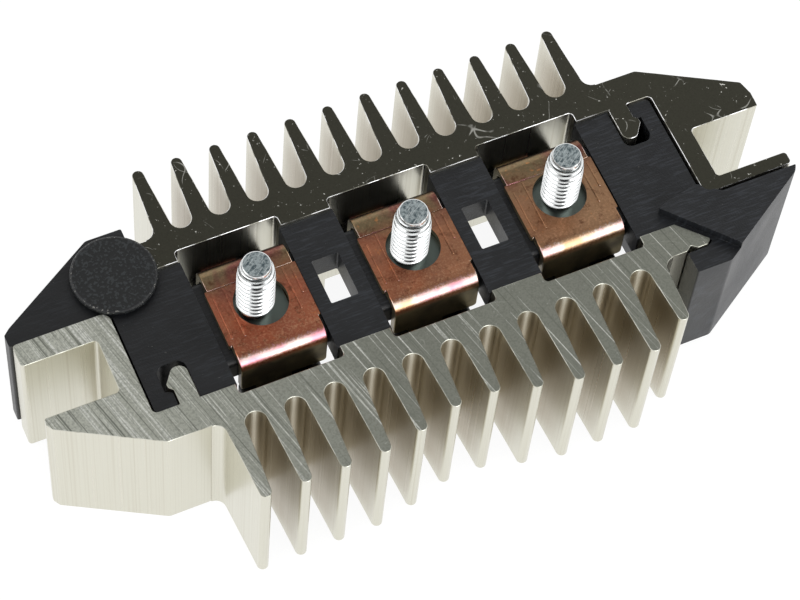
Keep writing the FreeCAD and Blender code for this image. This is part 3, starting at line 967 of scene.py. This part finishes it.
@dataclass
class HeatSinks:
    """The two finned extrusions with their sawn tops and burred edges. Sizes in millimetres.

    Only level edges are rounded: they are the sawn ones, and an edge is level if its ends
    differ in height by less than level_slack.
    """

    rounding: dict[Side, float] = field(default_factory=lambda: {Side.REAR: 0.30, Side.FRONT: 0.12})
    level_slack: float = 0.02
    finishes: dict[Side, SawnAluminium] = field(default_factory=lambda: {
        Side.REAR: SawnAluminium(
            "sawn_aluminium_rear", top="#525147", top_far="#525147", scratch_light="#f4f3ea",
            scratch_dark="#48473f", top_roughness=0.34, scratch_share=0.0, speck_share=1.0),
        # Painted light: the front top fades from light at its left end to a dimmer grey.
        Side.FRONT: SawnAluminium(
            "sawn_aluminium_front", top="#d4d6ca", top_far="#9c9e93", scratch_light="#f3f4ec",
            scratch_dark="#7c7f75", top_roughness=0.45, scratch_share=1.0, speck_share=0.3)})
    burrs: dict[Side, BurredEdge] = field(default_factory=lambda: {
        Side.REAR: BurredEdge("burred_edge_rear", bright="#ffffff", dull="#86847a"),
        Side.FRONT: BurredEdge("burred_edge_front", bright="#d6d6ca", dull="#a9a99c")})

    def build(self, nodes: dict[str, Piece]) -> list[Piece]:
        """Rounds and dresses both sinks.

        Args:
            nodes: The frame's nodes by name.

        Returns:
            The two finished pieces.
        """
        pieces = []
        for side, finish in self.finishes.items():
            node = f"{side.value}_heat_sink"
            piece = soft_copy(
                nodes[node], f"{side.value}_finned_extrusion", self.rounding[side], steps=1,
                wanted=lambda start, end: abs(start.z - end.z) < self.level_slack * MM)
            material = finish.material()
            dress(piece, material, self.burrs[side].material())
            finish_rounding(piece)
            dress(nodes[node], material)
            stand_in(piece, node)
            pieces.append(piece)
        return pieces


@dataclass
class Mouldings:
    """The insulating carrier, its end plug and the six diode cases. Sizes in millimetres.

    Each case's resin ran on along its recess: run_out is how far, and what lies more than
    run_from to the right of the case's middle ran with it.
    """

    rounding: float = 0.12
    run_out: dict[Side, float] = field(default_factory=lambda: {Side.REAR: 1.9, Side.FRONT: 2.5})
    run_from: float = 1.0
    carrier: MouldedResin = MouldedResin("moulded_resin_carrier", chips=0.5, chip_from=0.74)
    worn_edge: MouldedResin = MouldedResin(
        "worn_resin_edge", deep="#101214", scuffed="#3c3e40", chips=0.7, chip_from=0.60)
    plug: MouldedResin = MouldedResin(
        "moulded_resin_plug", deep="#080a0b", scuffed="#14181a", grain_mm=0.35, roughness=0.5,
        bump=1.0, hatching=0.0, chip="#2c3032", chips=0.8, chip_from=0.54)
    case: MouldedResin = MouldedResin(
        "moulded_resin_case", deep="#0b0a09", scuffed="#16130f", grain_mm=0.15, roughness=0.5,
        hatching=0.0)

    def build(self, nodes: dict[str, Piece]) -> list[Piece]:
        """Rounds and dresses the mouldings.

        Args:
            nodes: The frame's nodes by name.

        Returns:
            The finished pieces.
        """
        pieces = []
        for node, name, finish, slot in (
                ("insulating_carrier", "moulded_carrier", self.carrier, "moulding"),
                ("round_end_plug", "moulded_end_plug", self.plug, "plug")):
            piece = soft_copy(nodes[node], name, self.rounding)
            material = finish.material()
            dress(piece, material, self.worn_edge.material())
            finish_rounding(piece)
            dress(nodes[node], material)
            stand_in(piece, node)
            pieces.append(piece)
        case = self.case.material()
        for side in Side:
            for phase in Phase:
                node = f"{side.value}_diode_case_{phase.label}"
                name = f"{side.value}_epoxy_case_{phase.label}"
                piece = soft_copy(nodes[node], name, self.rounding)
                self.run_on(piece, self.run_out[side])
                dress(piece, case, case)
                finish_rounding(piece)
                dress(nodes[node], case)
                stand_in(piece, node)
                pieces.append(piece)
        return pieces

    def run_on(self, case: Piece, reach: float) -> None:
        """Stretches a case's right end along the recess.

        Args:
            case: The diode case.
            reach: How far it ran, in millimetres.
        """
        centre = sum(point.co.x for point in case.data.vertices) / len(case.data.vertices)
        pick(case, lambda place: place.x > centre + self.run_from * MM)
        with edit_mode():
            bpy.ops.transform.translate(value=(reach * MM, 0.0, 0.0))


@dataclass
class TerminalClips:
    """The three copper bridges over the carrier's bar. Sizes in millimetres.

    The die that coined the seat left its edges sharp and a thin ridge on each side of the hole.
    The shears left the legs' corners sharper than the frame's.

    Attributes:
        rounding: Width of the rounding on the edges outside the seat.
        seat_high: Height of the seat.
        seat_depth: How far below the seat an edge is when it is rounded.
        seat_reach: How far to the front and rear of the hole the seat goes.
        leg_corner: Radius of the legs' corners in the frame.
        sharp_corner: Their radius here.
        ridges: For each ridge how far it is aside of the hole, and where its ends are.
    """

    rounding: float = 0.10
    seat_high: float = 19.48
    seat_depth: float = 0.1
    seat_reach: float = 4.2
    half_width: float = 5.3
    leg_end: float = 13.8
    leg_corner: float = 1.5
    sharp_corner: float = 0.5
    ridge_width: float = 0.2
    ridge_high: float = 0.12
    ridge_bevel: float = 0.05
    ridges: tuple[Place, ...] = (
        (-3.4, -3.4, 3.3), (-4.9, -3.2, 2.4), (3.9, -2.5, 3.4), (4.9, -0.6, 3.0))
    finish: TintedCopper = TintedCopper()

    def build(self, nodes: dict[str, Piece]) -> list[Piece]:
        """Rounds and dresses the clips.

        Args:
            nodes: The frame's nodes by name.

        Returns:
            The finished pieces.
        """
        copper = self.finish.material()
        pieces = []
        for phase in Phase:
            node = f"terminal_clip_{phase.label}"
            low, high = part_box(node)
            axis_y = (low[1] + high[1]) / 2
            piece = soft_copy(
                nodes[node], f"copper_bridge_{phase.label}", self.rounding,
                wanted=lambda start, end: self.off_seat(start, end, axis_y))
            self.square_corners(piece)
            dress(piece, copper, copper)
            finish_rounding(piece)
            self.raise_ridges(piece)
            dress(nodes[node], copper)
            stand_in(piece, node)
            pieces.append(piece)
        return pieces

    def off_seat(self, start: Vector, end: Vector, axis_y: float) -> bool:
        """Tells whether an edge lies outside the coined seat.

        Args:
            start: One end of the edge.
            end: Its other end.
            axis_y: The middle of the clip from front to rear, in metres.

        Returns:
            True if it does.
        """
        is_low = min(start.z, end.z) < (self.seat_high - self.seat_depth) * MM
        return is_low or max(abs(start.y - axis_y), abs(end.y - axis_y)) > self.seat_reach * MM

    def square_corners(self, clip: Piece) -> None:
        """Sharpens the rounded corners of both legs.

        Args:
            clip: The clip, before its rounding is applied.
        """
        centre = middle(clip, 0)
        share = self.sharp_corner / self.leg_corner
        inner = (self.half_width - self.leg_corner) * MM - SLACK
        top = (self.leg_end + self.leg_corner) * MM + SLACK
        for way in (-1, 1):
            pick(clip, lambda place: way * (place.x - centre) > inner and place.z < top)
            corner = (centre + way * self.half_width * MM, 0.0, self.leg_end * MM)
            with edit_mode():
                bpy.ops.transform.resize(value=(share, 1.0, share), center_override=corner)

    def raise_ridges(self, clip: Piece) -> None:
        """Adds the die's ridges to a clip's seat.

        Args:
            clip: The clip, already rounded.
        """
        parts = []
        for across, front, rear in self.ridges:
            bpy.ops.object.select_all(action="DESELECT")
            bpy.ops.mesh.primitive_cube_add(size=1.0, location=(
                middle(clip, 0) + across * MM, middle(clip, 1) + (front + rear) / 2 * MM,
                self.seat_high * MM))
            ridge = bpy.context.active_object
            ridge.scale = (self.ridge_width * MM, (rear - front) * MM, 2 * self.ridge_high * MM)
            settle(ridge)
            pick(ridge, lambda place: place.z > self.seat_high * MM)
            with edit_mode():
                bpy.ops.mesh.bevel(offset=self.ridge_bevel * MM, segments=2, affect="EDGES")
            dress(ridge, clip.data.materials[0])
            parts.append(ridge)
        only(clip)
        for ridge in parts:
            ridge.select_set(True)
        bpy.ops.object.join()


@dataclass
class DiodeCells:
    """The joints inside the cases: copper base, silicon die and copper contact."""

    copper: TintedCopper = TintedCopper(name="tinned_copper_cell")
    silicon: LappedSilicon = LappedSilicon()

    def build(self, nodes: dict[str, Piece]) -> int:
        """Dresses the cell nodes, which keep their own shape.

        Args:
            nodes: The frame's nodes by name.

        Returns:
            How many nodes were dressed.
        """
        copper = self.copper.material()
        silicon = self.silicon.material()
        count = 0
        for side in Side:
            for phase in Phase:
                for part, material in (("base", copper), ("die", silicon), ("contact", copper)):
                    dress(nodes[f"{side.value}_diode_{part}_{phase.label}"], material)
                    count += 1
        return count


@dataclass
class TerminalStuds:
    """The three threaded studs with dog points, necks and hexagon heads. Sizes in millimetres.

    Each stud stands a little off its phase and is a little longer or shorter than the next.

    Attributes:
        axis_y: Where the studs stand from front to rear.
        head_flats: The head's width across its flats.
        thread_low: Height at which the thread begins.
        run_in: Height over which it grows from run_in_share of its radius to all of it.
        taper: How far below the tip the wear leaves which radius.
        groove: Points of one turn of the thread: depth below its crest, and share of the pitch.
        dog_radius: Radius of the flat point above the thread.
        tip: Height of the middle axis' tip.
        overlap: How far each turned part reaches into the next.
        steps: Faces round the stud.
        aside: How far each stud stands to the right of its phase.
        rise: How much higher each stud is than the model.
        shading: Turn between two faces up to which they shade as one.
    """

    axis_y: float = 0.6
    head_low: float = 17.0
    head_high: float = 18.6
    head_flats: float = 7.9
    head_chamfer: float = 0.12
    neck_radius: float = 2.1
    neck_chamfer: float = 0.05
    thread_low: float = 19.75
    run_in: float = 0.35
    run_in_share: float = 0.80
    taper: tuple[Span, ...] = ((0.45, 1.82), (0.8, 1.90), (1.15, 2.02), (1.9, 2.15), (2.9, 2.22))
    major_radius: float = 2.24
    groove: tuple[Span, ...] = (
        (0.0, 0.0), (0.0, 0.20), (0.05, 0.28), (0.16, 0.38), (0.5, 0.60), (0.5, 0.70), (0.0, 1.0))
    pitch: float = 0.8
    dog_radius: float = 1.72
    dog_chamfer: float = 0.14
    tip: float = 28.4
    overlap: float = 0.2
    trim_reach: float = 0.004
    steps: int = 48
    shading: float = math.radians(20.0)
    aside: dict[Phase, float] = field(default_factory=lambda: {
        Phase.LEFT: -0.4, Phase.MIDDLE: -0.2, Phase.RIGHT: 0.0})
    rise: dict[Phase, float] = field(default_factory=lambda: {
        Phase.LEFT: 0.3, Phase.MIDDLE: -0.4, Phase.RIGHT: 0.0})

    def bar(self, radius: float, low: float, high: float, sides: int) -> Piece:
        """Adds a plain bar on the middle axis.

        Args:
            radius: Radius to its corners in millimetres.
            low: Height of its foot in millimetres.
            high: Height of its top in millimetres.
            sides: Faces round it.

        Returns:
            The bar.
        """
        bpy.ops.object.select_all(action="DESELECT")
        bpy.ops.mesh.primitive_cylinder_add(
            vertices=sides, radius=radius * MM, depth=(high - low) * MM,
            location=(0.0, 0.0, (low + high) / 2 * MM))
        piece = bpy.context.active_object
        settle(piece)
        return piece

    def chamfered_bar(self, radius: float, low: float, high: float, chamfer: float,
                      sides: int) -> Piece:
        """Turns or forges a bar whose top edge is chamfered.

        Args:
            radius: Radius to its corners in millimetres.
            low: Height of its foot in millimetres.
            high: Height of its top in millimetres.
            chamfer: Width of the chamfer in millimetres.
            sides: Faces round it.

        Returns:
            The bar on the middle axis.
        """
        piece = self.bar(radius, low, high, sides)
        pick(piece, lambda place: abs(place.z - high * MM) < SLACK)
        with edit_mode():
            bpy.ops.mesh.bevel(offset=chamfer * MM, segments=2, affect="EDGES")
        return piece

    def cut(self, piece: Piece, height: float, keep_above: bool) -> None:
        """Trims a piece at a height and closes the cut.

        Args:
            piece: The piece to trim.
            height: Height of the cut in millimetres.
            keep_above: Whether the upper part stays.
        """
        only(piece)
        with edit_mode():
            bpy.ops.mesh.select_all(action="SELECT")
            bpy.ops.mesh.bisect(
                plane_co=(0.0, 0.0, height * MM), plane_no=(0.0, 0.0, 1.0), use_fill=True,
                clear_inner=keep_above, clear_outer=not keep_above)

    def thread(self) -> Piece:
        """Winds the rolled thread and trims it at both ends.

        Returns:
            The thread as one closed piece on the middle axis.
        """
        groove = [(self.major_radius - depth, self.pitch * share) for depth, share in self.groove]
        low = self.thread_low - 2 * self.pitch
        bpy.ops.object.select_all(action="DESELECT")
        bpy.ops.mesh.primitive_plane_add(size=self.pitch * MM, location=(0.0, 0.0, 0.0))
        piece = bpy.context.active_object
        with edit_mode():
            bpy.ops.mesh.select_all(action="SELECT")
            bpy.ops.mesh.merge(type="CENTER")
            bpy.ops.transform.translate(value=(groove[0][0] * MM, 0.0, low * MM))
            for before, after in zip(groove, groove[1:]):
                step = ((after[0] - before[0]) * MM, 0.0, (after[1] - before[1]) * MM)
                bpy.ops.mesh.extrude_vertices_move(TRANSFORM_OT_translate={"value": step})
        winding = piece.modifiers.new("winding", "SCREW")
        winding.axis = "Z"
        winding.angle = math.tau
        winding.screw_offset = self.pitch * MM
        winding.iterations = math.ceil((self.tip - low) / self.pitch) + 1
        winding.steps = self.steps
        winding.render_steps = self.steps
        bpy.ops.object.modifier_apply(modifier="winding")
        outward(piece)
        self.cut(piece, self.thread_low, keep_above=True)
        self.cut(piece, self.tip - self.taper[0][0], keep_above=False)
        outward(piece)
        return piece

    def envelope(self) -> Piece:
        """Turns the blank that bounds the thread: a bar that tapers to its end by the wear.

        Returns:
            The blank on the middle axis.
        """
        low = self.thread_low - self.overlap
        high = self.tip - self.taper[0][0] + self.overlap
        rings = [(low, self.run_in_share * self.major_radius),
                 (self.thread_low + self.run_in, self.major_radius)]
        rings += [(self.tip - below, radius) for below, radius in reversed(self.taper)]
        rings.append((high, self.taper[0][1]))
        piece = self.bar(self.major_radius, low, high, self.steps)
        with edit_mode():
            for height, _ in rings[1:-1]:
                bpy.ops.mesh.select_all(action="SELECT")
                bpy.ops.mesh.bisect(plane_co=(0.0, 0.0, height * MM), plane_no=(0.0, 0.0, 1.0))
        for height, radius in rings:
            share = radius / self.major_radius
            pick(piece, lambda place: abs(place.z - height * MM) < SLACK)
            with edit_mode():
                bpy.ops.transform.resize(value=(share, share, 1.0),
                                         center_override=(0.0, 0.0, 0.0))
        return piece

    def model(self) -> Piece:
        """Models the whole stud once, on the middle axis.

        Returns:
            The stud.
        """
        thread = self.thread()
        blank = self.envelope()
        only(thread)
        trim = thread.modifiers.new("trim", "BOOLEAN")
        trim.operation = "INTERSECT"
        trim.object = blank
        trim.solver = "EXACT"
        bpy.ops.object.modifier_apply(modifier="trim")
        bpy.data.objects.remove(blank)
        outward(thread, self.trim_reach * MM)
        dog = self.chamfered_bar(self.dog_radius, self.tip - 2 * self.taper[0][0], self.tip,
                                 self.dog_chamfer, self.steps)
        neck = self.chamfered_bar(self.neck_radius, self.head_high - self.overlap,
                                  self.thread_low + 2 * self.overlap, self.neck_chamfer,
                                  self.steps)
        head = self.chamfered_bar(self.head_flats / math.sqrt(3), self.head_low, self.head_high,
                                  self.head_chamfer, 6)
        only(thread)
        for part in (dog, neck, head):
            part.select_set(True)
        bpy.ops.object.join()
        bpy.ops.object.shade_smooth_by_angle(angle=self.shading)
        return thread

    def lift(self, piece: Piece, rise: float) -> None:
        """Moves all of a stud above its head up or down, which lengthens or shortens its neck.

        Args:
            piece: The stud.
            rise: How far to move, in millimetres.
        """
        pick(piece, lambda place: place.z > self.head_high * MM + SLACK)
        with edit_mode():
            bpy.ops.transform.translate(value=(0.0, 0.0, rise * MM))

    def build(self, finish: PlatedSteel) -> list[Piece]:
        """Copies the stud to the three phases and dresses each.

        Args:
            finish: The plating.

        Returns:
            The three studs.
        """
        pattern = self.model()
        steel = finish.material()
        pieces = []
        for phase in Phase:
            piece = pattern.copy()
            piece.data = pattern.data.copy()
            piece.name = f"threaded_stud_{phase.label}"
            piece.data.name = piece.name
            bpy.context.scene.collection.objects.link(piece)
            self.lift(piece, self.rise[phase])
            piece.location = ((phase.value + self.aside[phase]) * MM, self.axis_y * MM, 0.0)
            settle(piece)
            dress(piece, steel)
            stand_in(piece, f"terminal_stud_{phase.label}")
            pieces.append(piece)
        bpy.data.objects.remove(pattern)
        return pieces


@dataclass(frozen=True)
class SoftBox:
    """A rectangular studio lamp with a soft face. Sizes in metres.

    Attributes:
        place: Where it hangs.
        size: Its width and height.
        radiance: How bright its face is, where 1 is white.
    """

    name: str
    place: Place
    size: Span
    radiance: float

    def hang(self, target: Place) -> None:
        """Hangs the lamp so that it looks at a point.

        Args:
            target: The point.
        """
        width, height = self.size
        data = bpy.data.lights.new(self.name, "AREA")
        data.shape = "RECTANGLE"
        data.size = width
        data.size_y = height
        data.energy = self.radiance * math.pi * width * height
        lamp = bpy.data.objects.new(self.name, data)
        bpy.context.scene.collection.objects.link(lamp)
        lamp.location = self.place
        aim = Vector(target) - Vector(self.place)
        lamp.rotation_euler = aim.to_track_quat("-Z", "Y").to_euler()


@dataclass
class Studio:
    """White floor, soft light and the camera. Sizes in metres.

    Attributes:
        camera_place: Where the camera stands.
        camera_heading: How far to the right of straight back it looks, in degrees.
        camera_tilt: How far it is raised from looking straight down, in degrees.
        camera_roll: How far it is rolled about its line of sight, in degrees.
        horizon: Brightness of the world up to the height horizon_up.
        zenith: Its brightness above the height zenith_up.
        hood: Its brightness behind the camera.
        hood_turn: Angles from the camera at which the hood is full and ends, in degrees.
        clip: Nearest and furthest distance that the camera sees.
    """

    floor_size: float = 6.0
    camera_place: Place = (-0.08648, -0.14833, 0.31311)
    camera_heading: float = 30.013
    camera_tilt: float = 29.394
    camera_roll: float = 6.833
    clip: Span = (0.01, 20.0)
    focal_mm: float = 132.9
    sensor_mm: float = 36.0
    horizon: float = 0.95
    zenith: float = 0.30
    horizon_up: float = 0.68
    zenith_up: float = 0.84
    hood: float = 0.02
    hood_turn: Span = (12.0, 20.0)
    target: Place = (0.0, 0.0, 0.015)
    paint: StudioPaint = StudioPaint()
    lamps: tuple[SoftBox, ...] = (
        SoftBox("front_soft_box", (0.10, -0.62, 0.30), (0.55, 0.24), 2.2),
        SoftBox("left_soft_box", (-0.395, 0.075, 0.445), (0.44, 0.34), 1.1),
        SoftBox("right_soft_box", (0.262, -0.305, 0.445), (0.44, 0.34), 1.1))

    def floor(self) -> None:
        """Lays the floor."""
        bpy.ops.object.select_all(action="DESELECT")
        bpy.ops.mesh.primitive_plane_add(size=self.floor_size, location=(0.0, 0.0, 0.0))
        floor = bpy.context.active_object
        floor.name = "studio_floor"
        dress(floor, self.paint.material())

    def camera_turn(self) -> Matrix:
        """Turns the camera from looking straight down to the photograph's view.

        Returns:
            The turn.
        """
        heading = Matrix.Rotation(-math.radians(self.camera_heading), 4, "Z")
        tilt = Matrix.Rotation(math.radians(self.camera_tilt), 4, "X")
        roll = Matrix.Rotation(math.radians(self.camera_roll), 4, "Z")
        return heading @ tilt @ roll

    def sky(self) -> None:
        """Sets the world: bright round the horizon, dim overhead, a black hood at the camera."""
        world = bpy.data.worlds.new("soft_studio")
        bpy.context.scene.world = world
        world.use_nodes = True
        tree = world.node_tree
        tree.nodes.clear()
        way = add_node(tree, "TexCoord").outputs["Generated"]
        parts = add_node(tree, "SeparateXYZ", {0: way})
        level = add_node(tree, "MapRange", {
            "Value": parts.outputs["Z"], "From Min": self.horizon_up, "From Max": self.zenith_up,
            "To Min": self.horizon, "To Max": self.zenith}, interpolation_type="SMOOTHSTEP")
        behind = self.camera_turn() @ Vector((0.0, 0.0, 1.0))
        facing = add_node(tree, "VectorMath", {0: way, 1: behind}, operation="DOT_PRODUCT")
        full, end = (math.cos(math.radians(turn)) for turn in self.hood_turn)
        hood = add_node(tree, "MapRange", {
            "Value": facing.outputs["Value"], "From Min": end, "From Max": full,
            "To Min": 1.0, "To Max": self.hood})
        hooded = add_node(tree, "Math", {0: level, 1: hood}, operation="MULTIPLY")
        path = add_node(tree, "LightPath")
        seen = add_node(tree, "MixRGB", {
            "Fac": path.outputs["Is Camera Ray"], "Color1": hooded, "Color2": "#ffffff"})
        light = add_node(tree, "Background", {"Color": seen, "Strength": 1.0})
        add_node(tree, "OutputWorld", {"Surface": light})

    def camera(self) -> None:
        """Sets the camera at the photograph's view."""
        data = bpy.data.cameras.new("photo_view")
        data.sensor_width = self.sensor_mm
        data.lens = self.focal_mm
        data.clip_start, data.clip_end = self.clip
        camera = bpy.data.objects.new("photo_view", data)
        bpy.context.scene.collection.objects.link(camera)
        camera.matrix_world = Matrix.Translation(self.camera_place) @ self.camera_turn()
        bpy.context.scene.camera = camera

    def build(self) -> None:
        """Sets up the whole studio."""
        self.floor()
        self.sky()
        for lamp in self.lamps:
            lamp.hang(self.target)
        self.camera()
        bpy.context.scene.view_settings.view_transform = "Standard"


def main() -> None:
    """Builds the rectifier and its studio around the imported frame."""
    logging.basicConfig(level=logging.INFO, format="%(message)s")
    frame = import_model()
    nodes = frame["nodes"]
    for sink in HeatSinks().build(nodes):
        LOG.info("heat sink %s: %d faces", sink.name, len(sink.data.polygons))
    for moulding in Mouldings().build(nodes):
        LOG.info("moulding %s: %d faces", moulding.name, len(moulding.data.polygons))
    for clip in TerminalClips().build(nodes):
        LOG.info("clip %s: %d faces", clip.name, len(clip.data.polygons))
    for stud in TerminalStuds().build(PlatedSteel()):
        LOG.info("stud %s: %d faces", stud.name, len(stud.data.polygons))
    LOG.info("diode cells: %d nodes dressed", DiodeCells().build(nodes))
    Studio().build()
    LOG.info("studio: floor, sky, lamps and camera")


if __name__ == "__main__":
    main()
